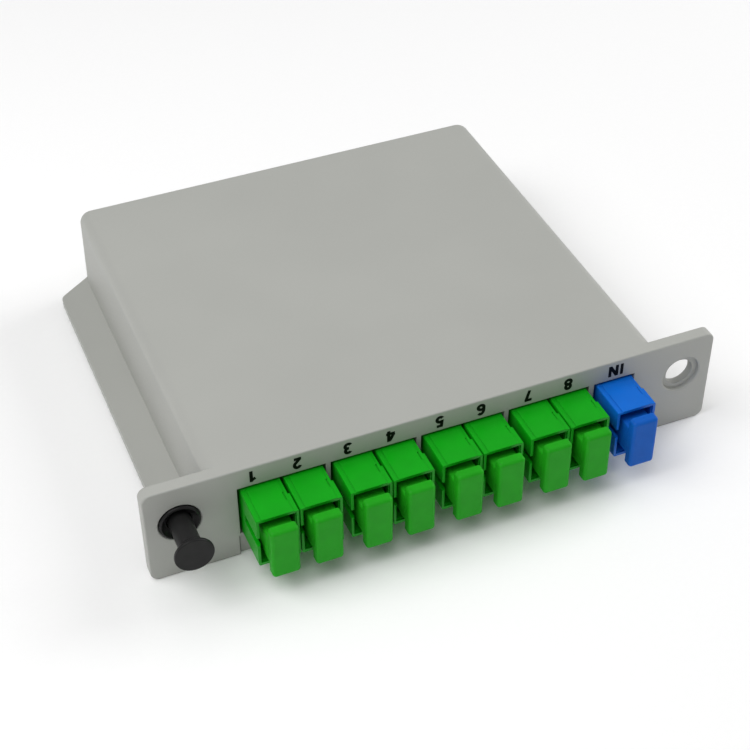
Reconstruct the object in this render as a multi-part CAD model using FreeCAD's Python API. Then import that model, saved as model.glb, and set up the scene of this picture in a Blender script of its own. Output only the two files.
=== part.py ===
import FreeCAD, Part
import math
import os

from FreeCAD import Vector

# Optical splitter cassette with eight output ports and one input port.
# Millimetres. X runs along the front panel, Y goes back into the cassette, +Z is up.
# The origin is on the resting plane, midway along the panel, at the panel's rear face.

# Front panel, with an ear at each end
panel_width = 130.0
panel_height = 24.0
panel_thickness = 2.8
panel_corner_radius = 2.0
panel_edge_radius = 0.35
ear_width = 13.9

# Moulded body behind the panel, open below
body_depth = 97.2
body_corner_radius = 3.0
roof_edge_radius = 2.6
wall = 2.0
roof = 2.0
draft_angle = 1.0

# Guide wings along both sides
wing_reach = 8.0
wing_thickness = 2.0
wing_lead_in = 6.2
wing_nose_radius = 2.2

# Cover that closes the body from below
cover_thickness = 2.0
cover_gap = 0.15
lip_setback = 0.8
lip_side_gap = 0.3
tongue_height = 1.5
tongue_thickness = 1.2
lip_gusset_depth = 3.0

# Cover screws and their bosses
boss_radius = 3.0
boss_inset = 5.6
boss_front_y = 49.0
screw_core_radius = 1.0
screw_head_radius = 2.4
screw_head_height = 1.4
screw_length = 8.0
screw_sink = 0.3
screw_clearance = 0.05
screw_cross_reach = 1.45
screw_cross_width = 0.6
screw_cross_depth = 0.85

# Adapter housing: a socket at each end and a web between them
socket_width = 7.5
socket_height = 10.9
adapter_side_wall = 0.8
adapter_top_wall = 0.9
adapter_length = 27.4
adapter_reach = 9.5
adapter_edge_radius = 0.5
web_thickness = 2.0
rim_step = 0.2
rim_depth = 0.5
keyway_height = 2.2
keyway_depth = 7.6
keyway_rise = 0.4
side_recess = 0.5
side_recess_reach = 4.3
top_strip_step = 0.15
top_strip_width = 1.15
slit_width = 0.3
slit_depth = 0.3
slit_start = 3.6
slit_length = 2.4

# Spring clip of each adapter, behind the panel
clip_thickness = 0.3
clip_clearance = 0.05
clip_start = 0.3
clip_length = 7.2
clip_leaf_width = 5.0
clip_leaf_rise = 1.5
clip_leaf_lead = 0.15

# Ferrule, split sleeve and the tube that carries the sleeve
ferrule_radius = 1.25
ferrule_clearance = 0.05
ferrule_gap = 0.2
sleeve_wall = 0.35
sleeve_length = 11.4
sleeve_slit = 0.3
sleeve_clearance = 0.1
tube_wall = 0.6
tube_length = 13.0

# Snap arms moulded inside the adapter
arm_width = 2.4
arm_thickness = 0.6
arm_gap = 0.4
arm_length = 9.0
barb_height = 0.5
barb_length = 1.2

# Dust cap: a grip tab that stands off the adapter on a hollow rectangular plug
tab_width = 6.0
tab_top = 6.0
tab_bottom = 6.65
tab_thickness = 2.1
tab_standoff = 2.2
tab_edge_radius = 0.8
plug_side_gap = 0.7
plug_barb_gap = 0.2
plug_corner_radius = 0.5
plug_clearance = 0.3
plug_end_gap = 1.7

# Connectors plugged in from the inside
connector_side_gap = 0.15
connector_end_gap = 0.6
connector_tail = 12.4
arm_clearance = 0.05
barb_clearance = 0.2
notch_side_gap = 0.3
key_clearance = 0.1
key_rise = 0.6
boot_length = 12.5
boot_root_radius = 2.2
boot_tip_radius = 1.1

# Row of ports: pairs of outputs, as many as the body takes, and one input by itself
twin_gap = 0.25
tooth_width = 1.02
input_tooth_width = 1.24
row_offset = 0.35
row_end_margin = 3.0
window_gap_left = 0.65
window_gap_right = 0.1
window_gap_top = 0.6
lip_gap = 0.2
comb_depth = 8.0

# Lock holes in the ears
lock_inset = 7.3
lock_drop = 9.5
lock_hole_radius = 3.3
lock_counterbore_radius = 4.5
lock_counterbore_depth = 1.0
lock_chamfer = 0.25

# Push-pull latch in the left lock hole: sleeve with four legs, and pin drawn out
latch_hole_clearance = 0.15
flange_clearance = 0.1
flange_crown = 0.45
flange_dish = 1.1
chassis_sheet = 2.0
barb_grip = 0.35
barb_rise = 0.8
barb_land = 0.6
barb_taper = 2.6
leg_tip_draw = 0.15
leg_slot_width = 1.0
leg_slot_start = 0.6
latch_reach = 9.8
latch_travel = 5.5
stem_radius = 2.45
stem_clearance = 0.2
stem_overrun = 1.5
stem_chamfer = 0.6
knob_radius = 4.15
knob_thickness = 0.9
knob_edge_radius = 0.25
flare_radius = 3.5
flare_length = 2.2

# Splitter module, its cradles and the fibre coil round it
module_length = 50.0
module_width = 7.0
module_thickness = 4.0
module_edge_radius = 0.7
cradle_offset = 15.0
cradle_thickness = 2.0
cradle_width = 12.0
cradle_drop = 1.0
cradle_gap = 0.1
coil_section_radius = 2.0
coil_side_margin = 7.1
coil_rear_margin = 9.2
hub_gap = 0.3
hub_wall = 1.5
hub_arc = 95.0
hub_arc_start = -75.0
keeper_width = 4.0
keeper_thickness = 1.0
lead_radius = 0.45
lead_straight = 4.0
lead_bend_radius = 8.0
lead_offset = 0.6
lead_run_inside = 7.0
tail_radius = 0.9
tail_lead_out = 1.0

# Panel and body, from the sizes above
panel_front_y = -panel_thickness
body_width = panel_width - 2 * ear_width
body_height = panel_height - cover_thickness
draft = math.tan(math.radians(draft_angle)) * body_height
body_half = body_width / 2
foot_half = body_half + draft
foot_depth = body_depth + draft
port_z = panel_height / 2

# Adapter and what goes into it
adapter_width = socket_width + 2 * adapter_side_wall
adapter_height = socket_height + 2 * adapter_top_wall
adapter_front_y = panel_front_y - adapter_reach
adapter_rear_y = adapter_front_y + adapter_length
adapter_mid_y = (adapter_front_y + adapter_rear_y) / 2
socket_depth = (adapter_length - web_thickness) / 2
sleeve_inner_radius = ferrule_radius + ferrule_clearance
sleeve_outer_radius = sleeve_inner_radius + sleeve_wall
tube_bore_radius = sleeve_outer_radius + sleeve_clearance
tube_radius = tube_bore_radius + tube_wall
arm_height = socket_height / 2 - arm_gap - arm_thickness
plug_length = socket_depth - plug_end_gap
connector_width = socket_width - 2 * connector_side_gap
connector_height = 2 * (arm_height - arm_clearance)
connector_entry = socket_depth - connector_end_gap
boot_end_y = adapter_rear_y + connector_tail + boot_length

# Places of the ports and the windows round them
twin_spacing = adapter_width + twin_gap
window_gaps = window_gap_left + window_gap_right
pair_spacing = 2 * adapter_width + twin_gap + window_gaps + tooth_width
input_spacing = adapter_width + window_gaps + input_tooth_width
row_room = body_width - 2 * (wall + row_end_margin) - adapter_width - window_gaps
output_pairs = int((row_room - input_spacing - twin_spacing) / pair_spacing) + 1
row_length = (output_pairs - 1) * pair_spacing + twin_spacing + input_spacing
first_port_x = row_offset - row_length / 2
output_x = [
    first_port_x + pair * pair_spacing + twin * twin_spacing
    for pair in range(output_pairs)
    for twin in range(2)
]
port_x = output_x + [first_port_x + row_length]
port_names = [str(number) for number in range(1, len(port_x))] + ["input"]
window_ends = [(2 * pair, 2 * pair + 1) for pair in range(output_pairs)] + [(-1, -1)]
windows = [
    (
        port_x[left] - adapter_width / 2 - window_gap_left,
        port_x[right] + adapter_width / 2 + window_gap_right,
    )
    for left, right in window_ends
]
comb_left = windows[0][0]
comb_right = windows[-1][1]
lip_top = port_z - adapter_height / 2 - lip_gap
window_top = port_z + adapter_height / 2 + window_gap_top

# Places of the lock holes, the latch, the bosses and the coil
lock_x = panel_width / 2 - lock_inset
lock_z = panel_height - lock_drop
flange_radius = lock_counterbore_radius - flange_clearance
grommet_bore_radius = stem_radius + stem_clearance
barb_radius = lock_hole_radius + barb_grip
leg_end_y = chassis_sheet + barb_rise + barb_land + barb_taper
stem_tip_y = leg_end_y + stem_overrun - latch_travel
boss_places = [
    (side * (body_half - boss_inset), y)
    for side in (-1, 1)
    for y in (boss_front_y, body_depth - boss_inset)
]
coil_front_y = boot_end_y + lead_straight + lead_bend_radius
coil_rear_y = body_depth - wall - coil_rear_margin - coil_section_radius
coil_bend_radius = (coil_rear_y - coil_front_y) / 2
module_y = (coil_front_y + coil_rear_y) / 2
coil_half_straight = body_half - wall - coil_side_margin - coil_section_radius - coil_bend_radius


def block(x0, x1, y0, y1, z0, z1):
    """A box between two corners."""
    return Part.makeBox(x1 - x0, y1 - y0, z1 - z0, Vector(x0, y0, z0))


def rod(x, z, radius, y0, y1):
    """A round bar along Y."""
    return Part.makeCylinder(radius, y1 - y0, Vector(x, y0, z), Vector(0, 1, 0))


def post(x, y, radius, z0, z1):
    """A round bar along Z."""
    return Part.makeCylinder(radius, z1 - z0, Vector(x, y, z0))


def fuse_all(shapes):
    """One solid from shapes that meet or overlap."""
    return shapes[0].multiFuse(shapes[1:]).removeSplitter()


def cut_all(shape, tools):
    """The shape less every tool."""
    return shape.cut(Part.makeCompound(tools)) if tools else shape


def body_outline(half, depth, radius, z):
    """Plan of the body: square at the panel, with round corners at the rear."""
    bend = radius * (1 - math.sqrt(0.5))
    left = [Vector(-half, 0, z), Vector(-half, depth - radius, z)]
    left_mid = Vector(-half + bend, depth - bend, z)
    rear = [Vector(-half + radius, depth, z), Vector(half - radius, depth, z)]
    right_mid = Vector(half - bend, depth - bend, z)
    right = [Vector(half, depth - radius, z), Vector(half, 0, z)]
    edges = [
        Part.makeLine(left[0], left[1]),
        Part.Arc(left[1], left_mid, rear[0]).toShape(),
        Part.makeLine(rear[0], rear[1]),
        Part.Arc(rear[1], right_mid, right[0]).toShape(),
        Part.makeLine(right[0], right[1]),
        Part.makeLine(right[1], left[0]),
    ]
    return Part.Wire(edges)


def drafted_body(inset, z0, z1):
    """Tapered block of the body, inset from its outer faces, between two heights."""

    def outline(z):
        grow = draft * (panel_height - z) / body_height
        half = body_half + grow - inset
        depth = body_depth + grow - inset
        return body_outline(half, depth, body_corner_radius - min(inset, wall), z)

    return Part.makeLoft([outline(z0), outline(z1)], True, True)


def front_panel():
    """Panel plate with round corners and softened front edges."""
    half = panel_width / 2
    plate = block(-half, half, panel_front_y, 0, 0, panel_height)
    corners = [e for e in plate.Edges if abs(e.tangentAt(e.FirstParameter).y) > 0.9]
    plate = plate.makeFillet(panel_corner_radius, corners)
    front = [
        e for e in plate.Edges
        if abs(e.BoundBox.YMin - panel_front_y) < 0.01 and abs(e.BoundBox.YMax - panel_front_y) < 0.01
    ]
    return plate.makeFillet(panel_edge_radius, front)


def comb_openings():
    """Windows for the adapters and the opening below them for the cover's lip."""
    tools = [
        block(x0, x1, panel_front_y - 1, comb_depth, lip_top - 1, window_top)
        for x0, x1 in windows
    ]
    tools.append(
        block(comb_left - lip_side_gap, comb_right + lip_side_gap, panel_front_y - 1, wall,
              -1, lip_top + cover_gap)
    )
    return tools


def comb_ribs():
    """Ribs behind the panel that carry each tooth of the comb back along the adapters."""
    ribs = []
    for (_, left), (right, _) in zip(windows, windows[1:]):
        ribs.append(block(left, right, panel_front_y / 2, comb_depth, lip_top + cover_gap,
                          panel_height - roof / 2))
    return ribs


def lock_holes():
    """Stepped holes through both ears."""
    tools = []
    for x in (-lock_x, lock_x):
        tools.append(rod(x, lock_z, lock_hole_radius, panel_front_y - 1, 1))
        tools.append(rod(x, lock_z, lock_counterbore_radius, panel_front_y - 1,
                         panel_front_y + lock_counterbore_depth))
        tools.append(Part.makeCone(lock_counterbore_radius + lock_chamfer,
                                   lock_counterbore_radius, lock_chamfer,
                                   Vector(x, panel_front_y, lock_z), Vector(0, 1, 0)))
    return tools


def guide_wing(side):
    """Flat wing along one side of the body, with a slanted lead-in at the rear."""
    reach = body_half + wing_reach
    root = body_half - wall / 2
    start = body_depth - wing_lead_in
    points = [
        Vector(side * root, -panel_thickness / 2, 0),
        Vector(side * reach, -panel_thickness / 2, 0),
        Vector(side * reach, start, 0),
        Vector(side * (foot_half - wall / 2), body_depth, 0),
        Vector(side * root, body_depth - body_corner_radius, 0),
    ]
    plan = Part.Face(Part.makePolygon(points + points[:1]))
    wing = plan.extrude(Vector(0, 0, wing_thickness))
    nose = [
        e for e in wing.Edges
        if e.BoundBox.ZLength > wing_thickness / 2
        and abs(e.BoundBox.YMin - start) < 0.01
    ]
    wing = wing.makeFillet(wing_nose_radius, nose)
    wing.translate(Vector(0, 0, cover_thickness))
    return wing


def module_cradles():
    """Two notched ribs under the roof that hold the splitter module."""
    floor_z = port_z + module_thickness / 2 + cradle_gap / 2
    foot_z = port_z - cradle_drop
    cradles = []
    for x in (-cradle_offset, cradle_offset):
        rib = block(x - cradle_thickness / 2, x + cradle_thickness / 2,
                    module_y - cradle_width / 2, module_y + cradle_width / 2,
                    foot_z, panel_height - roof / 2)
        notch = block(x - cradle_thickness, x + cradle_thickness,
                      module_y - module_width / 2 - cradle_gap,
                      module_y + module_width / 2 + cradle_gap, foot_z - 1, floor_z)
        cradles.append(rib.cut(notch))
    return cradles


def coil_hub(side):
    """Curved wall inside one end of the coil, with a keeper tab under the fibres."""
    outer = coil_bend_radius - coil_section_radius - hub_gap
    bottom = port_z - coil_section_radius - hub_gap - keeper_thickness
    top = panel_height - roof / 2
    centre = Vector(coil_half_straight, module_y, bottom)
    ring = Part.makeCylinder(outer, top - bottom, centre, Vector(0, 0, 1), hub_arc)
    core = Part.makeCylinder(outer - hub_wall, top - bottom, centre)
    hub = ring.cut(core)
    hub.rotate(centre, Vector(0, 0, 1), hub_arc_start)
    keeper = block(coil_half_straight + outer - hub_wall,
                   coil_half_straight + coil_bend_radius + coil_section_radius,
                   module_y - keeper_width / 2, module_y + keeper_width / 2,
                   bottom, bottom + keeper_thickness)
    keeper.rotate(centre, Vector(0, 0, 1), hub_arc_start + hub_arc / 2)
    hub = hub.fuse(keeper)
    if side < 0:
        hub.rotate(Vector(0, module_y, 0), Vector(0, 0, 1), 180)
    return hub


def base_shell():
    """Moulded shell: panel, body walls and roof, comb, wings, bosses and fibre guides."""
    outer = drafted_body(0, cover_thickness, panel_height)
    rim = [
        e for e in outer.Edges
        if e.BoundBox.ZMin > panel_height - 0.01 and e.BoundBox.YMax > 0.01
    ]
    outer = outer.makeFillet(roof_edge_radius, rim)
    inner = drafted_body(wall, cover_thickness - 1, panel_height - roof)
    walls = outer.cut(inner)
    bosses = [
        post(x, y, boss_radius, cover_thickness, panel_height - roof / 2)
        for x, y in boss_places
    ]
    pilots = [
        post(x, y, screw_core_radius + screw_clearance, cover_thickness - 1,
             screw_sink + screw_head_height + screw_length + 1)
        for x, y in boss_places
    ]
    panel = cut_all(front_panel(), comb_openings())
    parts = [walls, panel, guide_wing(-1), guide_wing(1)]
    parts += comb_ribs() + bosses + module_cradles() + [coil_hub(-1), coil_hub(1)]
    shell = fuse_all(parts)
    tools = lock_holes() + pilots
    return cut_all(shell, tools).removeSplitter()


def countersink(x, y, grow):
    """Cone of a screw head, grown all round for the seat that it lies in."""
    return Part.makeCone(screw_head_radius + grow, screw_core_radius + grow, screw_head_height,
                         Vector(x, y, screw_sink))


def cover_plate():
    """Cover with a lip that closes the comb, a locating tongue and countersunk holes."""
    plan = Part.Face(body_outline(foot_half, foot_depth, body_corner_radius, 0))
    plate = plan.extrude(Vector(0, 0, cover_thickness))
    lip = block(comb_left, comb_right, panel_front_y + lip_setback, 0, 0, lip_top)
    gussets = [
        block(left, right, -cover_gap, lip_gusset_depth, cover_thickness / 2, lip_top - lip_gap)
        for (_, left), (right, _) in zip(windows, windows[1:])
    ]
    top = cover_thickness + tongue_height
    ring = drafted_body(wall + cover_gap, cover_thickness / 2, top)
    ring = ring.cut(drafted_body(wall + cover_gap + tongue_thickness, 0, top + 1))
    front = block(-foot_half, foot_half, -1, comb_depth + cover_gap, 0, top + 1)
    room = [
        post(x, y, boss_radius + cover_gap, cover_thickness, top + 1) for x, y in boss_places
    ]
    ring = cut_all(ring, [front] + room)
    cover = fuse_all([plate, lip, ring] + gussets)
    tools = []
    for x, y in boss_places:
        tools.append(post(x, y, screw_core_radius + 2 * screw_clearance, -1, top + 1))
        tools.append(countersink(x, y, screw_clearance))
        tools.append(post(x, y, screw_head_radius + screw_clearance, -1, screw_sink))
    return cut_all(cover, tools).removeSplitter()


def cover_screws():
    """Four countersunk screws with a cross recess, as separate solids."""
    screws = []
    for x, y in boss_places:
        top = screw_sink + screw_head_height + screw_length
        shank = post(x, y, screw_core_radius, screw_sink + screw_head_height / 2, top)
        screw = countersink(x, y, 0).fuse(shank)
        arm = screw_cross_reach
        half = screw_cross_width / 2
        deep = screw_sink + screw_cross_depth
        cross = block(x - arm, x + arm, y - half, y + half, 0, deep)
        cross = cross.fuse(block(x - half, x + half, y - arm, y + arm, 0, deep))
        screws.append(screw.cut(cross).removeSplitter())
    return Part.makeCompound(screws)


def snap_arm(above, forward):
    """One latching arm of a socket, above or below the tube, facing front or rear."""
    low = arm_height
    arm = block(-arm_width / 2, arm_width / 2, 0, arm_length, low, low + arm_thickness)
    barb = block(-arm_width / 2, arm_width / 2, arm_length - barb_length, arm_length,
                 low - barb_height, low + arm_thickness / 2)
    arm = arm.fuse(barb)
    if not above:
        arm = arm.mirror(Vector(0, 0, 0), Vector(0, 0, 1))
    if forward:
        arm = arm.mirror(Vector(0, 0, 0), Vector(0, 1, 0))
    arm.translate(Vector(0, adapter_mid_y, port_z))
    return arm


def adapter_housing():
    """Housing of one adapter on the plane x = 0: two sockets back to back."""
    half_w = adapter_width / 2
    half_h = adapter_height / 2
    front = adapter_front_y
    rear = adapter_rear_y
    body = block(-half_w, half_w, front, rear, port_z - half_h, port_z + half_h)
    long_edges = [e for e in body.Edges if e.BoundBox.YLength > adapter_length / 2]
    body = body.makeFillet(adapter_edge_radius, long_edges)
    web_front = adapter_mid_y - web_thickness / 2
    web_rear = adapter_mid_y + web_thickness / 2
    tools = []
    for y0, y1 in ((front - 1, web_front), (web_rear, rear + 1)):
        tools.append(block(-socket_width / 2, socket_width / 2, y0, y1,
                           port_z - socket_height / 2, port_z + socket_height / 2))
    for y0, y1 in ((front - 1, front + rim_depth), (rear - rim_depth, rear + 1)):
        tools.append(block(-socket_width / 2 - rim_step, socket_width / 2 + rim_step, y0, y1,
                           port_z - socket_height / 2 - rim_step,
                           port_z + socket_height / 2 + rim_step))
    keyway_z = port_z + keyway_rise
    for y0, y1 in ((front - 1, front + keyway_depth), (rear - keyway_depth, rear + 1)):
        tools.append(block(-half_w - 1, 0, y0, y1, keyway_z - keyway_height / 2,
                           keyway_z + keyway_height / 2))
    body = cut_all(body, tools)
    tube = rod(0, port_z, tube_radius, adapter_mid_y - tube_length / 2,
               adapter_mid_y + tube_length / 2)
    arms = [snap_arm(above, forward) for above in (True, False) for forward in (True, False)]
    body = fuse_all([body, tube] + arms)
    seat = clip_thickness + 2 * clip_clearance
    band = block(-half_w - 1, half_w + 1, clip_start - clip_leaf_lead,
                 clip_start + clip_length + clip_leaf_lead, port_z - half_h - 1, port_z + half_h + 1)
    keep = block(-half_w + seat, half_w - seat, clip_start - 1, clip_start + clip_length + 1,
                 port_z - half_h + seat, port_z + half_h - seat)
    side = block(half_w - side_recess, half_w + 1, panel_front_y - side_recess_reach,
                 clip_start, port_z - half_h - 1, port_z + half_h + 1)
    top = port_z + half_h
    strips = [
        block(x - top_strip_width, x + top_strip_width, front - 1, panel_front_y,
              top - top_strip_step, top + 1)
        for x in (-half_w, half_w)
    ]
    slit_x = half_w - top_strip_width
    slit_y = panel_front_y - slit_start
    slit = block(slit_x - slit_width, slit_x, slit_y - slit_length, slit_y,
                 top - slit_depth, top + 1)
    bore = rod(0, port_z, tube_bore_radius, front, rear)
    body = cut_all(body, [band.cut(keep), side, slit, bore] + strips)
    return body.removeSplitter()


def adapter_clip():
    """Spring clip round the adapter behind the panel, with a leaf above and below."""
    half_w = adapter_width / 2 - clip_clearance
    half_h = adapter_height / 2 - clip_clearance
    thick = clip_thickness
    end = clip_start + clip_length
    band = block(-half_w, half_w, clip_start, end, port_z - half_h, port_z + half_h)
    hole = block(-half_w + thick, half_w - thick, clip_start - 1, end + 1,
                 port_z - half_h + thick, port_z + half_h - thick)
    parts = [band.cut(hole)]
    for side in (-1, 1):
        root = half_h - thick / 2
        tip = half_h + clip_leaf_rise
        profile = [
            Vector(-clip_leaf_width / 2, end, side * root),
            Vector(-clip_leaf_width / 2, end, side * (root + thick)),
            Vector(-clip_leaf_width / 2, clip_start - clip_leaf_lead, side * (tip + thick)),
            Vector(-clip_leaf_width / 2, clip_start - clip_leaf_lead, side * tip),
        ]
        leaf = Part.Face(Part.makePolygon(profile + profile[:1]))
        leaf = leaf.extrude(Vector(clip_leaf_width, 0, 0))
        leaf.translate(Vector(0, 0, port_z))
        parts.append(leaf)
    return fuse_all(parts)


def split_sleeve():
    """Ceramic alignment sleeve with its lengthwise slit."""
    y0 = adapter_mid_y - sleeve_length / 2
    y1 = adapter_mid_y + sleeve_length / 2
    sleeve = rod(0, port_z, sleeve_outer_radius, y0, y1)
    hole = rod(0, port_z, sleeve_inner_radius, y0 - 1, y1 + 1)
    slit = block(-sleeve_slit / 2, sleeve_slit / 2, y0 - 1, y1 + 1, port_z,
                 port_z + 2 * sleeve_outer_radius)
    return cut_all(sleeve, [hole, slit])


def dust_cap():
    """Dust cap: a grip tab that stands off the port and a hollow plug inside the port."""
    back = adapter_front_y - tab_standoff
    tab = block(-tab_width / 2, tab_width / 2, back - tab_thickness, back,
                port_z - tab_bottom, port_z + tab_top)
    outer = [e for e in tab.Edges if e.BoundBox.YMin < back - tab_edge_radius]
    tab = tab.makeFillet(tab_edge_radius, outer)
    half_w = socket_width / 2 - plug_side_gap
    half_h = arm_height - barb_height - plug_barb_gap
    end = adapter_front_y + plug_length
    plug = block(-half_w, half_w, back, end, port_z - half_h, port_z + half_h)
    corners = [e for e in plug.Edges if e.BoundBox.YLength > plug_length / 2]
    plug = plug.makeFillet(plug_corner_radius, corners)
    hollow = rod(0, port_z, tube_radius + plug_clearance, adapter_front_y, end + 1)
    return cut_all(fuse_all([tab, plug]), [hollow]).removeSplitter()


def inner_connector():
    """Connector plugged in from the inside: ferrule, keyed housing and tapered boot."""
    rear = adapter_rear_y + connector_tail
    nose = adapter_rear_y - connector_entry
    half_w = connector_width / 2
    half_h = connector_height / 2
    body = block(-half_w, half_w, nose, rear, port_z - half_h, port_z + half_h)
    notches = []
    for side in (-1, 1):
        edge = port_z + side * half_h
        inner = edge - side * (barb_height + barb_clearance)
        notches.append(block(-arm_width / 2 - notch_side_gap, arm_width / 2 + notch_side_gap,
                             nose - 1, adapter_rear_y - 1, min(edge, inner), max(edge, inner)))
    tube_end = adapter_mid_y + tube_length / 2
    notches.append(rod(0, port_z, tube_radius + plug_clearance, nose - 1,
                       tube_end + plug_clearance))
    body = cut_all(body, notches)
    key_z = port_z + keyway_rise
    key_half = keyway_height / 2 - key_clearance
    key = block(-half_w - key_rise, 0, adapter_rear_y - keyway_depth + rim_depth,
                adapter_rear_y + 1, key_z - key_half, key_z + key_half)
    key = key.cut(rod(0, port_z, tube_radius + 2 * plug_clearance, nose, adapter_rear_y + 2))
    ferrule = rod(0, port_z, ferrule_radius, adapter_mid_y + ferrule_gap, rear)
    boot = Part.makeCone(boot_root_radius, boot_tip_radius, boot_length,
                         Vector(0, rear, port_z), Vector(0, 1, 0))
    return fuse_all([body, key, ferrule, boot])


def outline_edge(points):
    """Edge of a profile: a line through two points, or an arc through three."""
    corners = [Vector(radius, y, 0) for radius, y in points]
    if len(corners) == 2:
        return Part.makeLine(corners[0], corners[1])
    return Part.Arc(corners[0], corners[1], corners[2]).toShape()


def turned(runs, x, z):
    """Solid turned about a line along Y, from runs of radius and y points."""
    edges = [outline_edge(points) for points in runs]
    face = Part.Face(Part.Wire(edges))
    solid = face.revolve(Vector(0, 0, 0), Vector(0, 1, 0), 360)
    solid.translate(Vector(x, 0, z))
    return solid


def straight_runs(points):
    """Runs from each point to the next."""
    return list(zip(points, points[1:]))


def quarter_middle(start, end, corner):
    """Middle point of a quarter round from start to end, bulging towards the corner."""
    share = math.sqrt(0.5)
    return tuple(
        a + b - c + (2 * c - a - b) * share for a, b, c in zip(start, end, corner)
    )


def latch_grommet():
    """Split sleeve in the left ear: dished flange in front, four barbed legs behind."""
    floor_y = panel_front_y + lock_counterbore_depth
    barrel = lock_hole_radius - latch_hole_clearance
    crown_y = panel_front_y - flange_crown
    bore_front = (grommet_bore_radius, crown_y + flange_dish)
    crown = (flange_radius - flange_crown, crown_y)
    rim = (flange_radius, panel_front_y)
    dish_middle = (
        (bore_front[0] + crown[0]) / 2,
        (bore_front[1] + crown[1]) / 2 + flange_dish / 8,
    )
    crown_middle = quarter_middle(crown, rim, (flange_radius, crown_y))
    behind = [
        rim,
        (flange_radius, floor_y),
        (barrel, floor_y),
        (barrel, chassis_sheet),
        (barb_radius, chassis_sheet + barb_rise),
        (barb_radius, chassis_sheet + barb_rise + barb_land),
        (barrel - leg_tip_draw, leg_end_y),
        (grommet_bore_radius, leg_end_y),
        bore_front,
    ]
    front = [(bore_front, dish_middle, crown), (crown, crown_middle, rim)]
    grommet = turned(front + straight_runs(behind), -lock_x, lock_z)
    half = leg_slot_width / 2
    wide = 2 * barb_radius
    slots = [
        block(-lock_x - half, -lock_x + half, leg_slot_start, leg_end_y + 1,
              lock_z - wide, lock_z + wide),
        block(-lock_x - wide, -lock_x + wide, leg_slot_start, leg_end_y + 1,
              lock_z - half, lock_z + half),
    ]
    return cut_all(grommet, slots)


def latch_plunger():
    """Pin of the latch, drawn out: flat knob, neck that flares to it, and stem."""
    front = panel_front_y - latch_reach
    back = front + knob_thickness
    edge = knob_edge_radius
    face_edge = (knob_radius - edge, front)
    rim_front = (knob_radius, front + edge)
    rim_back = (knob_radius, back - edge)
    back_edge = (knob_radius - edge, back)
    flare_start = (flare_radius, back)
    flare_end = (stem_radius, back + flare_length)
    tip = [
        flare_end,
        (stem_radius, stem_tip_y - stem_chamfer),
        (stem_radius - stem_chamfer, stem_tip_y),
        (0, stem_tip_y),
        (0, front),
    ]
    runs = [
        ((0, front), face_edge),
        (face_edge, quarter_middle(face_edge, rim_front, (knob_radius, front)), rim_front),
        (rim_front, rim_back),
        (rim_back, quarter_middle(rim_back, back_edge, (knob_radius, back)), back_edge),
        (back_edge, flare_start),
        (flare_start, quarter_middle(flare_start, flare_end, (stem_radius, back)), flare_end),
    ]
    return turned(runs + straight_runs(tip), -lock_x, lock_z)


def splitter_module():
    """Steel tube of the splitter chip, with soft end plugs drawn in at the ends."""
    half_l = module_length / 2
    half_w = module_width / 2
    half_t = module_thickness / 2
    tube = block(-half_l, half_l, module_y - half_w, module_y + half_w,
                 port_z - half_t, port_z + half_t)
    long_edges = [e for e in tube.Edges if e.BoundBox.XLength > half_l]
    return tube.makeFillet(module_edge_radius, long_edges)


def swept_tube(edges, radius):
    """Round tube along straight runs and arcs that meet smoothly."""
    path = Part.Wire(edges)
    start = path.OrderedVertexes[0].Point
    direction = path.OrderedEdges[0].tangentAt(path.OrderedEdges[0].FirstParameter)
    if path.OrderedEdges[0].valueAt(path.OrderedEdges[0].FirstParameter).distanceToPoint(start) > 0.01:
        direction = path.OrderedEdges[0].tangentAt(path.OrderedEdges[0].LastParameter)
    profile = Part.Wire([Part.makeCircle(radius, start, direction)])
    return path.makePipeShell([profile], True, False)


def fibre_lead(index, x):
    """Lead from one boot, turned into the front run of the coil."""
    heading = 1 if x < twin_spacing / 2 else -1
    run_y = module_y - coil_bend_radius + lead_offset * (1 if (index // 2) % 2 else -1)
    z = port_z + lead_offset * (1 if index % 2 else -1)
    bend = lead_bend_radius
    start = Vector(x, boot_end_y, z)
    turn = Vector(x, run_y - bend, z)
    mid = Vector(x + heading * bend * (1 - math.sqrt(0.5)), run_y - bend * (1 - math.sqrt(0.5)), z)
    joined = Vector(x + heading * bend, run_y, z)
    inside = max(abs(x) - bend - coil_half_straight, 0) + lead_run_inside
    end = joined + Vector(heading * inside, 0, 0)
    edges = [
        Part.makeLine(start, turn),
        Part.Arc(turn, mid, joined).toShape(),
        Part.makeLine(joined, end),
    ]
    return swept_tube(edges, lead_radius)


def module_tail(side):
    """Ribbon tail from one end of the module, curled outwards into the coil."""
    start_x = module_length / 2
    turn_x = start_x + tail_lead_out
    gap = turn_x - coil_half_straight
    bend = (coil_bend_radius ** 2 - gap ** 2) / (2 * coil_bend_radius)
    centre = Vector(turn_x, module_y + bend, port_z)
    reach = Vector(gap, bend, 0).normalize() * coil_bend_radius
    end = Vector(coil_half_straight, module_y, port_z) + reach
    mid_angle = (-math.pi / 2 + math.atan2(end.y - centre.y, end.x - centre.x)) / 2
    mid = centre + Vector(bend * math.cos(mid_angle), bend * math.sin(mid_angle), 0)
    turn = Vector(turn_x, module_y, port_z)
    edges = [
        Part.makeLine(Vector(start_x, module_y, port_z), turn),
        Part.Arc(turn, mid, end).toShape(),
    ]
    tail = swept_tube(edges, tail_radius)
    if side < 0:
        tail.rotate(Vector(0, module_y, 0), Vector(0, 0, 1), 180)
    return tail


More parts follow.
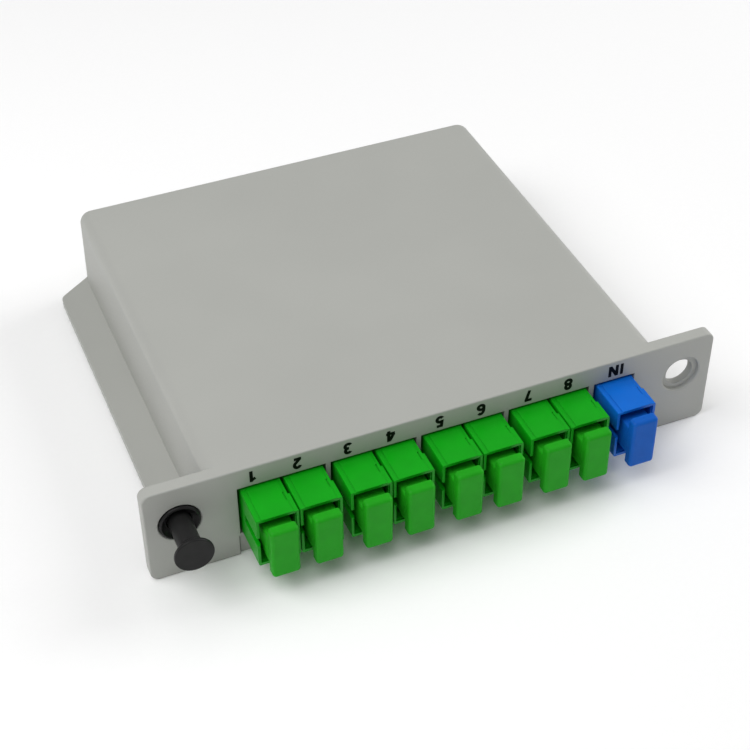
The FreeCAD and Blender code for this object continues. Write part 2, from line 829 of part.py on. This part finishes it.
def fibre_coil():
    """Coiled fibres round the hubs, with every lead and both tails joined in."""
    parts = []
    for side in (-1, 1):
        y = module_y + side * coil_bend_radius
        parts.append(Part.makeCylinder(coil_section_radius, 2 * coil_half_straight,
                                       Vector(-coil_half_straight, y, port_z), Vector(1, 0, 0)))
        bend = Part.makeTorus(coil_bend_radius, coil_section_radius, Vector(0, 0, 0),
                              Vector(0, 0, 1), 0, 360, 180)
        bend.rotate(Vector(0, 0, 0), Vector(0, 0, 1), -90 * side)
        bend.translate(Vector(side * coil_half_straight, module_y, port_z))
        parts.append(bend)
    parts += [fibre_lead(index, x) for index, x in enumerate(port_x)]
    parts += [module_tail(-1), module_tail(1)]
    return fuse_all(parts)


def save(name, shape):
    """Writes one node and says its volume."""
    if not shape.isValid():
        raise ValueError("invalid shape: " + name)
    shape.exportStep("parts/" + name + ".step")
    print(name, len(shape.Solids), "solids", round(shape.Volume, 2), "mm3")


def main():
    """Writes every piece of the cassette."""
    os.makedirs("parts", exist_ok=True)
    save("base_shell", base_shell())
    save("cover_plate", cover_plate())
    save("cover_screws", cover_screws())
    save("latch_grommet", latch_grommet())
    save("latch_plunger", latch_plunger())
    save("splitter_module", splitter_module())
    save("fibre_coil", fibre_coil())
    pieces = {
        "adapter": adapter_housing(),
        "adapter_clip": adapter_clip(),
        "split_sleeve": split_sleeve(),
        "inner_connector": inner_connector(),
        "dust_cap": dust_cap(),
    }
    for label, x in zip(port_names, port_x):
        for name, shape in pieces.items():
            copy = shape.copy()
            copy.translate(Vector(x, 0, 0))
            save(name + "_" + label, copy)


main()
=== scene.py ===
import math

import bmesh
import bpy
from bpy.props import FloatProperty, FloatVectorProperty, PointerProperty, StringProperty
from mathutils import Matrix, Vector


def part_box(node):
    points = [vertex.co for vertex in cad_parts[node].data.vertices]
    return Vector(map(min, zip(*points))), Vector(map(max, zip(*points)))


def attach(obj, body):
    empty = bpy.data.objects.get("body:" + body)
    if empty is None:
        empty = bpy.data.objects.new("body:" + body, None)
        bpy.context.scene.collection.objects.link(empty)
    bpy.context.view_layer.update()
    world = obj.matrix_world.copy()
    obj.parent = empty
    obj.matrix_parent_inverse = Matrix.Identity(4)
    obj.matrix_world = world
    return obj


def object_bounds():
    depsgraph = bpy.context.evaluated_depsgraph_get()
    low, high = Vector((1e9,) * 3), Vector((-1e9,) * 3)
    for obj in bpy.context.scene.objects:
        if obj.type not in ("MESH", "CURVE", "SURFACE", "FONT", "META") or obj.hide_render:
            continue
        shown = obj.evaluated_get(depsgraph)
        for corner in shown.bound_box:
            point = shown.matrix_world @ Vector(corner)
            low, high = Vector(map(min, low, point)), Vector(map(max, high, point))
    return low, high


bl_info = {
    "name": "Fibre splitter cassette",
    "version": (1, 0, 0),
    "blender": (4, 5, 0),
    "location": "3D View > Sidebar > Cassette",
    "description": "Finishes, port numbers, stage and camera of a fibre splitter cassette",
    "category": "Object",
}

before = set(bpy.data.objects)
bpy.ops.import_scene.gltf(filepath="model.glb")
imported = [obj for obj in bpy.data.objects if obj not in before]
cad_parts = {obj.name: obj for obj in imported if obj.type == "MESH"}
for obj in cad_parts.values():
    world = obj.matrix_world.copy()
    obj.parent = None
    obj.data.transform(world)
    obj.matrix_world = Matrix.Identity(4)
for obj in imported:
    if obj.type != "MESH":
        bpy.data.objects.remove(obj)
CAD_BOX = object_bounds()
MM = 0.001

PORTS = sorted(
    (name[len("dust_cap_"):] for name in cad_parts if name.startswith("dust_cap_")),
    key=lambda label: (label == "input", label),
)
INPUT = "input"

# Drawing of the port numbers.
ARC_STEP = 12  # degrees between two points of an arc
LETTER_GAP = 0.26  # between two letters of a word, in the numerals' own units
LAYER_STEP = 0.15  # how much thinner each next stroke is, as a share of the ink film
MITRE_LIMIT = 1.5  # longest reach of a corner, in half stroke widths
SAME_POINT = 1e-6  # a stroke's ends that are closer than this meet

# Values between which nearly all of a noise lies.
NOISE_LOW, NOISE_HIGH = 0.3, 0.7
LINE_STRETCH = 0.015  # spacing of a metal's lines against their length

# Lights and camera. A softbox has its name, the property of its power, and its edge and place
# in metres.
SOFTBOXES = (
    ("overhead_light", "top_watts", 0.5, (-0.25, -0.1, 0.6)),
    ("left_light", "left_watts", 0.5, (-0.5, 0.1, 0.6)),
    ("right_light", "right_watts", 0.6, (0.8, 0.1, 0.45)),
)
SENSOR_WIDTH = 36.0  # millimetres, as the camera's settings take it
NEAREST = 10 * MM  # the camera sees nothing closer than this


def arc(x, y, wide, high, start, stop):
    """Points of an elliptical arc whose start and stop are in degrees."""
    steps = max(2, round(abs(stop - start) / ARC_STEP))
    turns = [math.radians(start + (stop - start) * i / steps) for i in range(steps + 1)]
    return [(x + wide * math.cos(turn), y + high * math.sin(turn)) for turn in turns]


# Middle lines of a plain bold sans serif, drawn one unit high. A stroke that ends where it
# starts is a ring. Strokes that meet at a sharp corner are separate.
STROKES = {
    "1": [[(0.33, 1.0), (0.33, 0.0)], [(0.06, 0.70), (0.33, 0.86)]],
    "2": [
        arc(0.28, 0.67, 0.19, 0.245, 165, -38) + [(0.13, 0.15)],
        [(0.02, 0.11), (0.50, 0.11)],
    ],
    "3": [
        arc(0.26, 0.705, 0.175, 0.21, 155, -75) + [(0.20, 0.495)],
        [(0.20, 0.505)] + arc(0.26, 0.295, 0.20, 0.21, 75, -155),
    ],
    "4": [
        [(0.42, 1.0), (0.42, 0.0)],
        [(0.36, 0.94), (0.07, 0.33)],
        [(0.0, 0.28), (0.60, 0.28)],
    ],
    "5": [
        [(0.48, 0.915), (0.16, 0.915), (0.12, 0.50)] + arc(0.27, 0.31, 0.20, 0.225, 118, -152),
    ],
    "6": [
        arc(0.285, 0.29, 0.20, 0.205, 0, 360),
        arc(0.30, 0.50, 0.215, 0.415, 48, 180) + [(0.085, 0.29)],
    ],
    "7": [[(0.02, 0.89), (0.52, 0.89)], [(0.44, 0.94), (0.20, 0.0)]],
    "8": [
        arc(0.28, 0.715, 0.17, 0.20, 0, 360),
        arc(0.28, 0.29, 0.20, 0.205, 0, 360),
    ],
    "I": [[(0.10, 0.0), (0.10, 1.0)]],
    "N": [
        [(0.10, 0.0), (0.10, 1.0)],
        [(0.60, 0.0), (0.60, 1.0)],
        [(0.12, 0.93), (0.58, 0.07)],
    ],
}


def linear(hex_colour):
    """sRGB hex colour as linear red, green and blue."""
    channels = []
    for start in (1, 3, 5):
        value = int(hex_colour[start:start + 2], 16) / 255
        if value <= 0.04045:
            channels.append(value / 12.92)
        else:
            channels.append(((value + 0.055) / 1.055) ** 2.4)
    return tuple(channels)


def colour_prop(name, description, hex_colour):
    """Colour setting whose default is an sRGB hex colour."""
    return FloatVectorProperty(
        name=name, description=description, subtype="COLOR", size=3,
        min=0.0, max=1.0, default=linear(hex_colour),
    )


def length_prop(name, description, default):
    """Length setting, in metres."""
    return FloatProperty(
        name=name, description=description, default=default, min=0.0,
        unit="LENGTH", subtype="DISTANCE", precision=5,
    )


def power_prop(name, description, default):
    """Power setting of a light, in watts."""
    return FloatProperty(
        name=name, description=description, default=default, min=0.0, unit="POWER",
    )


class ShellSettings(bpy.types.PropertyGroup):
    """Finish of the moulded shell and its cover."""

    colour: colour_prop("Shell colour", "Grey of the moulded shell and cover", "#a9aaa5")
    grain: length_prop("Grain", "Size of the grain that the mould leaves", 0.55 * MM)
    grain_depth: length_prop("Grain depth", "Depth of the grain", 0.012 * MM)
    roughness: FloatProperty(
        name="Roughness", description="Roughness of the textured surface", default=0.55,
        min=0.0, max=1.0, subtype="FACTOR",
    )


class PortSettings(bpy.types.PropertyGroup):
    """Colours of the adapters, dust caps and inner parts of the ports."""

    output_colour: colour_prop("Output adapter", "Green of the output adapters", "#0a9e12")
    input_colour: colour_prop("Input adapter", "Blue of the input adapter", "#0a67cb")
    output_cap: colour_prop("Output cap", "Green of the output dust caps", "#1e9c17")
    input_cap: colour_prop("Input cap", "Blue of the input dust cap", "#0a5ab8")
    ceramic: colour_prop("Ceramic", "White of the split sleeves", "#f2f1ec")
    buffer: colour_prop("Fibre buffer", "White of the buffered fibres", "#ecebe4")


class LatchSettings(bpy.types.PropertyGroup):
    """Finish of the push-pull latch."""

    colour: colour_prop("Latch colour", "Black of the latch", "#222222")
    roughness: FloatProperty(
        name="Roughness", description="Roughness of the latch", default=0.34,
        min=0.0, max=1.0, subtype="FACTOR",
    )


class NumberSettings(bpy.types.PropertyGroup):
    """Port numbers printed on the panel above the ports."""

    ink: colour_prop("Ink", "Black of the printed numbers", "#020202")
    height: length_prop("Height", "Height of a numeral", 2.95 * MM)
    weight: length_prop("Weight", "Width of a stroke", 0.74 * MM)
    spread: FloatProperty(
        name="Spread", description="Width of a numeral against its drawn width", default=1.12,
        min=0.5, max=2.0,
    )
    film: length_prop("Film", "Thickness of the ink film", 0.02 * MM)
    middle: length_prop("Middle", "Height of the row's middle line", 21.35 * MM)
    drift: length_prop("Drift", "How far the first numeral sits left of its port", 1.65 * MM)
    drift_step: length_prop("Drift step", "How much less each next numeral is off", 0.15 * MM)
    input_label: StringProperty(
        name="Input label", description="Word above the input port", default="IN",
    )


class StageSettings(bpy.types.PropertyGroup):
    """Floor, lights and camera."""

    floor_colour: colour_prop("Floor colour", "White of the floor", "#fcfcfc")
    floor_size: length_prop("Floor size", "Edge of the square floor", 6.0)
    sky: FloatProperty(
        name="Sky", description="Strength of the even light from all round", default=0.3,
        min=0.0,
    )
    top_watts: power_prop("Overhead light", "Power of the softbox overhead", 1.55)
    left_watts: power_prop("Left light", "Power of the softbox at the upper left", 2.28)
    right_watts: power_prop("Right light", "Power of the softbox at the right", 4.4)
    lens: FloatProperty(
        name="Lens", description="Focal length on a sensor 36 mm wide", default=78.83,
        min=1.0,
    )
    place: FloatVectorProperty(
        name="Camera place", description="Where the camera stands", subtype="XYZ",
        unit="LENGTH", default=(-0.1086, -0.22943, 0.25216),
    )
    heading: FloatProperty(
        name="Heading", description="Turn of the camera from +Y towards +X",
        subtype="ANGLE", default=math.radians(22.395),
    )
    tilt: FloatProperty(
        name="Tilt", description="How far the camera looks down", subtype="ANGLE",
        default=math.radians(40.997),
    )
    roll: FloatProperty(
        name="Roll", description="Turn of the camera about its own axis", subtype="ANGLE",
        default=math.radians(-0.46),
    )


def add(tree, kind, settings=None, links=None):
    """Adds a node. Settings go to its sockets or attributes, links to its sockets."""
    node = tree.nodes.new(kind)
    for key, value in (settings or {}).items():
        if key in node.inputs:
            node.inputs[key].default_value = value
        else:
            setattr(node, key, value)
    for socket, source in (links or {}).items():
        tree.links.new(source, node.inputs[socket])
    return node


def new_material(name):
    """An empty node material and its tree, ready for a shader."""
    material = bpy.data.materials.new(name)
    material.use_nodes = True
    material.node_tree.nodes.clear()
    return material, material.node_tree


def finish_with(tree, shader):
    """Leads the shader to the material's output."""
    add(tree, "ShaderNodeOutputMaterial", links={"Surface": shader.outputs[0]})


def rgba(colour, factor):
    """Colour made lighter or darker by a factor, with full alpha."""
    return tuple(min(channel * factor, 1.0) for channel in colour) + (1.0,)


def cloud(tree, size, detail=2.0):
    """Soft noise with patches of that real size, in metres."""
    place = add(tree, "ShaderNodeTexCoord")
    return add(
        tree, "ShaderNodeTexNoise",
        {"Scale": 1.0 / size, "Detail": detail, "Roughness": 0.55},
        {"Vector": place.outputs["Object"]},
    )


def tone(tree, source, colour, spread):
    """Colour that drifts a little lighter and darker with a noise."""
    ramp = add(tree, "ShaderNodeValToRGB", links={"Fac": source})
    first, last = ramp.color_ramp.elements
    first.position, last.position = NOISE_LOW, NOISE_HIGH
    first.color, last.color = rgba(colour, 1.0 - spread), rgba(colour, 1.0 + spread)
    return ramp.outputs["Color"]


def around(middle, swing):
    """Lowest and highest value of something that swings about its middle."""
    return middle - swing, middle + swing


def span(tree, source, limits):
    """Noise spread between two limits."""
    low, high = limits
    node = add(
        tree, "ShaderNodeMapRange",
        {"From Min": NOISE_LOW, "From Max": NOISE_HIGH, "To Min": low, "To Max": high},
        {"Value": source},
    )
    return node.outputs["Result"]


def soft_edge(tree, radius):
    """Normal that rounds sharp edges over the small radius that a mould leaves."""
    return add(tree, "ShaderNodeBevel", {"samples": 6, "Radius": radius}).outputs["Normal"]


def relief(tree, source, depth, edge):
    """Bump of that real depth, in metres, over softened edges."""
    node = add(
        tree, "ShaderNodeBump", {"Strength": 1.0, "Distance": depth},
        {"Height": source, "Normal": edge},
    )
    return node.outputs["Normal"]


def plain_skin(name, colour, drift, patch, roughness, surface):
    """Smooth material whose colour and roughness waver over patches, a length in metres."""
    material, tree = new_material(name)
    patches = cloud(tree, patch).outputs["Fac"]
    shader = add(
        tree, "ShaderNodeBsdfPrincipled", surface,
        {
            "Base Color": tone(tree, patches, colour, drift),
            "Roughness": span(tree, patches, roughness),
        },
    )
    finish_with(tree, shader)
    return material


def moulded_skin(name, colour, drift, patch, grain, depth, edge, roughness, surface):
    """Moulded plastic: colour drifts over patches, roughness and relief follow the grain.

    Patch and grain are sizes, depth that of the relief and edge the radius of sharp edges, all
    in metres on the part.
    """
    material, tree = new_material(name)
    patches = cloud(tree, patch).outputs["Fac"]
    fine = cloud(tree, grain, detail=3.0).outputs["Fac"]
    shader = add(
        tree, "ShaderNodeBsdfPrincipled", surface,
        {
            "Base Color": tone(tree, patches, colour, drift),
            "Roughness": span(tree, fine, roughness),
            "Normal": relief(tree, fine, depth, soft_edge(tree, edge)),
        },
    )
    finish_with(tree, shader)
    return material


def textured_abs(settings):
    """ABS moulded in a spark-eroded tool: a fine dry grain that spreads every highlight.

    The real grain is about 0.05 mm, too fine to show, so it is drawn ten times as coarse.
    """
    return moulded_skin(
        "textured_abs_grey", settings.colour, drift=0.02, patch=28 * MM,
        grain=settings.grain, depth=settings.grain_depth, edge=0.25 * MM,
        roughness=around(settings.roughness, 0.06),
        surface={"IOR": 1.54},
    )


def polished_pbt(name, colour):
    """PBT moulded in a polished tool: satin skin, faint flow clouds and a slight ripple."""
    return moulded_skin(
        name, colour, drift=0.05, patch=6 * MM,
        grain=0.5 * MM, depth=0.006 * MM, edge=0.18 * MM, roughness=(0.28, 0.38),
        surface={"IOR": 1.55, "Specular IOR Level": 0.22},
    )


def soft_polyethylene(name, colour):
    """Polyethylene, moulded: soft waxy skin that lets a little light into the edges."""
    return moulded_skin(
        name, colour, drift=0.05, patch=4 * MM,
        grain=0.6 * MM, depth=0.01 * MM, edge=0.2 * MM, roughness=(0.42, 0.54),
        surface={
            "IOR": 1.51, "Specular IOR Level": 0.14, "Subsurface Weight": 0.1,
            "Subsurface Scale": 0.4 * MM, "Subsurface Radius": (1.0, 1.0, 1.0),
        },
    )


def moulded_nylon(settings):
    """Nylon 66, moulded: black skin with a low, even sheen that marks its turned edges."""
    return moulded_skin(
        "moulded_nylon_black", settings.colour, drift=0.12, patch=2.5 * MM,
        grain=0.4 * MM, depth=0.002 * MM, edge=0.12 * MM,
        roughness=around(settings.roughness, 0.04),
        surface={"IOR": 1.53, "Specular IOR Level": 0.12},
    )


def pad_print_ink(settings):
    """Pad-printed ink: thin matt black film whose density wavers a little."""
    return plain_skin(
        "pad_print_black", settings.ink, drift=0.25, patch=0.7 * MM, roughness=(0.5, 0.65),
        surface={"IOR": 1.5, "Specular IOR Level": 0.1},
    )


def ground_zirconia(settings):
    """Zirconia, ground and polished: hard white ceramic with a sharp, bright gloss."""
    return plain_skin(
        "ground_zirconia", settings.ceramic, drift=0.01, patch=0.3 * MM,
        roughness=(0.1, 0.16), surface={"IOR": 2.1},
    )


def fibre_buffer(settings):
    """Extruded fibre buffer: smooth white polymer with a soft gloss."""
    return plain_skin(
        "extruded_fibre_buffer", settings.buffer, drift=0.03, patch=1.5 * MM,
        roughness=(0.3, 0.4), surface={"IOR": 1.5},
    )


def brushed_metal(name, hex_colour, line, roughness):
    """Metal with fine lines, left by rolling or drawing, which draw its highlights out.

    The real lines are some hundredths of a millimetre apart, too fine to show, so their
    spacing, line, is several times as coarse.
    """
    material, tree = new_material(name)
    place = add(tree, "ShaderNodeTexCoord")
    stretch = add(
        tree, "ShaderNodeMapping", {"Scale": (LINE_STRETCH, 1.0, 1.0)},
        {"Vector": place.outputs["Object"]},
    )
    lines = add(
        tree, "ShaderNodeTexNoise", {"Scale": 1.0 / line, "Detail": 2.0},
        {"Vector": stretch.outputs["Vector"]},
    ).outputs["Fac"]
    shader = add(
        tree, "ShaderNodeBsdfPrincipled", {"Metallic": 1.0},
        {
            "Base Color": tone(tree, lines, linear(hex_colour), spread=0.03),
            "Roughness": span(tree, lines, around(roughness, 0.04)),
            "Normal": relief(tree, lines, depth=0.001 * MM, edge=soft_edge(tree, 0.08 * MM)),
        },
    )
    finish_with(tree, shader)
    return material


def studio_paper(settings):
    """Matt white background paper with a barely visible tooth."""
    material, tree = new_material("studio_paper")
    tooth = cloud(tree, 1.2 * MM).outputs["Fac"]
    shader = add(
        tree, "ShaderNodeBsdfPrincipled", {"Roughness": 0.9, "Specular IOR Level": 0.1},
        {"Base Color": tone(tree, tooth, settings.floor_colour, spread=0.004)},
    )
    finish_with(tree, shader)
    return material


def finish_node(node, material):
    """Gives a CAD node its finish through its material slots."""
    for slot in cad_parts[node].material_slots:
        slot.material = material


def stroke_sides(points, half):
    """Left and right side of a stroke, mitred at its corners, blunt where they are sharp."""
    ring = math.dist(points[0], points[-1]) < SAME_POINT
    spots = [Vector(point) for point in (points[:-1] if ring else points)]
    sides = []
    for index, spot in enumerate(spots):
        before = spots[index - 1] if ring or index else None
        after = spots[(index + 1) % len(spots)] if ring or index + 1 < len(spots) else None
        into = (spot - before).normalized() if before is not None else None
        out = (after - spot).normalized() if after is not None else into
        into = into or out
        along = (into + out).normalized()
        across = Vector((-along.y, along.x))
        reach = half / max(along.dot(into), 1.0 / MITRE_LIMIT)
        sides.append((spot + across * reach, spot - across * reach))
    return sides, ring


def add_stroke(mesh, points, half, film):
    """Adds a stroke to the mesh as a thin closed strip of ink."""
    sides, ring = stroke_sides(points, half)
    rows = []
    for left, right in sides:
        rows.append([
            mesh.verts.new((spot.x, spot.y, z))
            for spot, z in ((left, film), (right, film), (right, 0.0), (left, 0.0))
        ])
    for index in range(len(rows) if ring else len(rows) - 1):
        row, following = rows[index], rows[(index + 1) % len(rows)]
        for side in range(4):
            mesh.faces.new((
                row[side], following[side], following[(side + 1) % 4], row[(side + 1) % 4]
            ))
    if not ring:
        mesh.faces.new(rows[0])
        mesh.faces.new(tuple(reversed(rows[-1])))


def label_mesh(text, settings):
    """Mesh of a printed label, centred, lying face up before it is put on the panel."""
    mesh = bmesh.new()
    wide, high = settings.height * settings.spread, settings.height
    start = 0.0
    for letter in text:
        strokes = STROKES[letter]
        for layer, points in enumerate(strokes):
            moved = [((x + start) * wide, (y - 0.5) * high) for x, y in points]
            # Crossing strokes differ a little in height, so no two faces coincide.
            film = settings.film * (1.0 - LAYER_STEP * layer)
            add_stroke(mesh, moved, settings.weight / 2, film)
        start += max(x for points in strokes for x, y in points) + LETTER_GAP
    middle = (max(v.co.x for v in mesh.verts) + min(v.co.x for v in mesh.verts)) / 2
    bmesh.ops.translate(mesh, vec=(-middle, 0.0, 0.0), verts=mesh.verts)
    bmesh.ops.recalc_face_normals(mesh, faces=mesh.faces)
    finished = bpy.data.meshes.new("label_" + text)
    mesh.to_mesh(finished)
    mesh.free()
    return finished


class CASSETTE_OT_shell(bpy.types.Operator):
    """Finish the moulded shell and its cover"""

    bl_idname = "cassette.shell"
    bl_label = "Shell and cover"

    def execute(self, context):
        material = textured_abs(context.scene.cassette_shell)
        for node in ("base_shell", "cover_plate"):
            finish_node(node, material)
        return {"FINISHED"}


class CASSETTE_OT_screws(bpy.types.Operator):
    """Finish the cover screws"""

    bl_idname = "cassette.screws"
    bl_label = "Cover screws"

    def execute(self, context):
        # Steel, zinc plated and passivated: pale, slightly blue, fine rolled lines.
        zinc = brushed_metal("zinc_plated_steel", "#b4b7ba", line=0.15 * MM, roughness=0.32)
        finish_node("cover_screws", zinc)
        return {"FINISHED"}


class CASSETTE_OT_latch(bpy.types.Operator):
    """Finish the push-pull latch"""

    bl_idname = "cassette.latch"
    bl_label = "Latch"

    def execute(self, context):
        material = moulded_nylon(context.scene.cassette_latch)
        for node in ("latch_grommet", "latch_plunger"):
            finish_node(node, material)
        return {"FINISHED"}


class CASSETTE_OT_adapters(bpy.types.Operator):
    """Finish the port adapters"""

    bl_idname = "cassette.adapters"
    bl_label = "Adapters"

    def execute(self, context):
        settings = context.scene.cassette_ports
        green = polished_pbt("polished_pbt_green", settings.output_colour)
        blue = polished_pbt("polished_pbt_blue", settings.input_colour)
        for label in PORTS:
            finish_node("adapter_" + label, blue if label == INPUT else green)
        return {"FINISHED"}


class CASSETTE_OT_dust_caps(bpy.types.Operator):
    """Finish the dust caps"""

    bl_idname = "cassette.dust_caps"
    bl_label = "Dust caps"

    def execute(self, context):
        settings = context.scene.cassette_ports
        green = soft_polyethylene("soft_polyethylene_green", settings.output_cap)
        blue = soft_polyethylene("soft_polyethylene_blue", settings.input_cap)
        for label in PORTS:
            finish_node("dust_cap_" + label, blue if label == INPUT else green)
        return {"FINISHED"}


class CASSETTE_OT_inner_parts(bpy.types.Operator):
    """Finish the clips, sleeves, inner connectors, splitter module and fibres"""

    bl_idname = "cassette.inner_parts"
    bl_label = "Inner parts"

    def execute(self, context):
        settings = context.scene.cassette_ports
        # Stainless strip, cold rolled: bright with long fine lines.
        strip = brushed_metal(
            "rolled_stainless_strip", "#c9cbcc", line=0.12 * MM, roughness=0.25
        )
        # Stainless tube, drawn: a little duller than strip.
        tube = brushed_metal("drawn_stainless_tube", "#bfc1c2", line=0.2 * MM, roughness=0.32)
        green = polished_pbt("polished_connector_green", settings.output_colour)
        blue = polished_pbt("polished_connector_blue", settings.input_colour)
        ceramic = ground_zirconia(settings)
        for label in PORTS:
            finish_node("adapter_clip_" + label, strip)
            finish_node("split_sleeve_" + label, ceramic)
            finish_node("inner_connector_" + label, blue if label == INPUT else green)
        finish_node("splitter_module", tube)
        finish_node("fibre_coil", fibre_buffer(settings))
        return {"FINISHED"}


class CASSETTE_OT_port_numbers(bpy.types.Operator):
    """Print the port numbers on the panel, upside down as the cassette lies"""

    bl_idname = "cassette.port_numbers"
    bl_label = "Port numbers"

    def execute(self, context):
        settings = context.scene.cassette_numbers
        ink = pad_print_ink(settings)
        # The panel's front is the shell's foremost face. The turn stands a label up against it,
        # head down.
        panel_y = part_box("base_shell")[0].y
        turn = Matrix.Rotation(math.pi, 4, "Y") @ Matrix.Rotation(math.pi / 2, 4, "X")
        for index, label in enumerate(PORTS):
            low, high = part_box("adapter_" + label)
            text = settings.input_label if label == INPUT else label
            mesh = label_mesh(text, settings)
            mesh.materials.append(ink)
            drift = settings.drift_step
            if label != INPUT:
                drift = settings.drift - settings.drift_step * index
            place = Vector(((low.x + high.x) / 2 - drift, panel_y, settings.middle))
            mesh.transform(Matrix.Translation(place) @ turn)
            piece = bpy.data.objects.new("port_number_" + label, mesh)
            context.scene.collection.objects.link(piece)
            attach(piece, "cassette")
        return {"FINISHED"}


class CASSETTE_OT_stage(bpy.types.Operator):
    """Add the floor, the lights and the camera"""

    bl_idname = "cassette.stage"
    bl_label = "Stage"

    def execute(self, context):
        settings = context.scene.cassette_stage
        add_floor(context, settings)
        add_sky(context, settings)
        for name, power, size, place in SOFTBOXES:
            softbox(context, name, getattr(settings, power), size, place)
        add_camera(context, settings)
        return {"FINISHED"}


def add_floor(context, settings):
    """Square floor at the height of the cover's underside."""
    half = settings.floor_size / 2
    corners = [(-half, -half, 0), (half, -half, 0), (half, half, 0), (-half, half, 0)]
    mesh = bpy.data.meshes.new("floor")
    mesh.from_pydata(corners, [], [(0, 1, 2, 3)])
    mesh.materials.append(studio_paper(settings))
    floor = bpy.data.objects.new("floor", mesh)
    context.scene.collection.objects.link(floor)


def add_sky(context, settings):
    """Even white light from all round."""
    world = bpy.data.worlds.new("studio_sky")
    world.use_nodes = True
    world.node_tree.nodes.clear()
    sky = add(
        world.node_tree, "ShaderNodeBackground",
        {"Color": (1.0, 1.0, 1.0, 1.0), "Strength": settings.sky},
    )
    add(world.node_tree, "ShaderNodeOutputWorld", links={"Surface": sky.outputs[0]})
    context.scene.world = world


def softbox(context, name, watts, size, place):
    """Square light that faces the cassette."""
    light = bpy.data.lights.new(name, "AREA")
    light.energy = watts
    light.shape = "SQUARE"
    light.size = size
    holder = bpy.data.objects.new(name, light)
    holder.location = place
    towards = (CAD_BOX[0] + CAD_BOX[1]) / 2 - Vector(place)
    holder.rotation_euler = towards.to_track_quat("-Z", "Y").to_euler()
    context.scene.collection.objects.link(holder)


def add_camera(context, settings):
    """Camera at the photograph's place, from its heading, tilt and roll."""
    heading, tilt = settings.heading, settings.tilt
    ahead = Vector((
        math.sin(heading) * math.cos(tilt), math.cos(heading) * math.cos(tilt), -math.sin(tilt)
    ))
    level = Vector((math.cos(heading), -math.sin(heading), 0.0))
    above = level.cross(ahead)
    right = level * math.cos(settings.roll) + above * math.sin(settings.roll)
    up = right.cross(ahead)
    camera = bpy.data.cameras.new("photo_camera")
    camera.sensor_fit = "HORIZONTAL"
    camera.sensor_width = SENSOR_WIDTH
    camera.lens = settings.lens
    camera.clip_start = NEAREST
    holder = bpy.data.objects.new("photo_camera", camera)
    turn = Matrix((right, up, -ahead)).transposed().to_4x4()
    holder.matrix_world = Matrix.Translation(settings.place) @ turn
    context.scene.collection.objects.link(holder)
    context.scene.camera = holder
    context.scene.view_settings.view_transform = "Standard"


class CASSETTE_PT_panel(bpy.types.Panel):
    """Pieces and finishes of the cassette"""

    bl_idname = "CASSETTE_PT_panel"
    bl_label = "Fibre splitter cassette"
    bl_space_type = "VIEW_3D"
    bl_region_type = "UI"
    bl_category = "Cassette"

    def draw(self, context):
        layout = self.layout
        for title, holder, group, operators in SECTIONS:
            box = layout.box()
            box.label(text=title)
            settings = getattr(context.scene, holder)
            for name in group.__annotations__:
                box.prop(settings, name)
            for operator in operators:
                box.operator(operator.bl_idname)


# Title, holder of its settings, the settings, and its operators in their order.
SECTIONS = (
    ("Shell", "cassette_shell", ShellSettings, (CASSETTE_OT_shell, CASSETTE_OT_screws)),
    ("Latch", "cassette_latch", LatchSettings, (CASSETTE_OT_latch,)),
    (
        "Ports", "cassette_ports", PortSettings,
        (CASSETTE_OT_adapters, CASSETTE_OT_dust_caps, CASSETTE_OT_inner_parts),
    ),
    ("Port numbers", "cassette_numbers", NumberSettings, (CASSETTE_OT_port_numbers,)),
    ("Stage", "cassette_stage", StageSettings, (CASSETTE_OT_stage,)),
)


def register():
    for _, holder, group, operators in SECTIONS:
        bpy.utils.register_class(group)
        setattr(bpy.types.Scene, holder, PointerProperty(type=group))
        for operator in operators:
            bpy.utils.register_class(operator)
    bpy.utils.register_class(CASSETTE_PT_panel)


def unregister():
    bpy.utils.unregister_class(CASSETTE_PT_panel)
    for _, holder, group, operators in reversed(SECTIONS):
        for operator in reversed(operators):
            bpy.utils.unregister_class(operator)
        delattr(bpy.types.Scene, holder)
        bpy.utils.unregister_class(group)


def main():
    register()
    bpy.ops.cassette.shell()
    bpy.ops.cassette.screws()
    bpy.ops.cassette.latch()
    bpy.ops.cassette.adapters()
    bpy.ops.cassette.dust_caps()
    bpy.ops.cassette.inner_parts()
    bpy.ops.cassette.port_numbers()
    bpy.ops.cassette.stage()


if __name__ == "__main__":
    main()
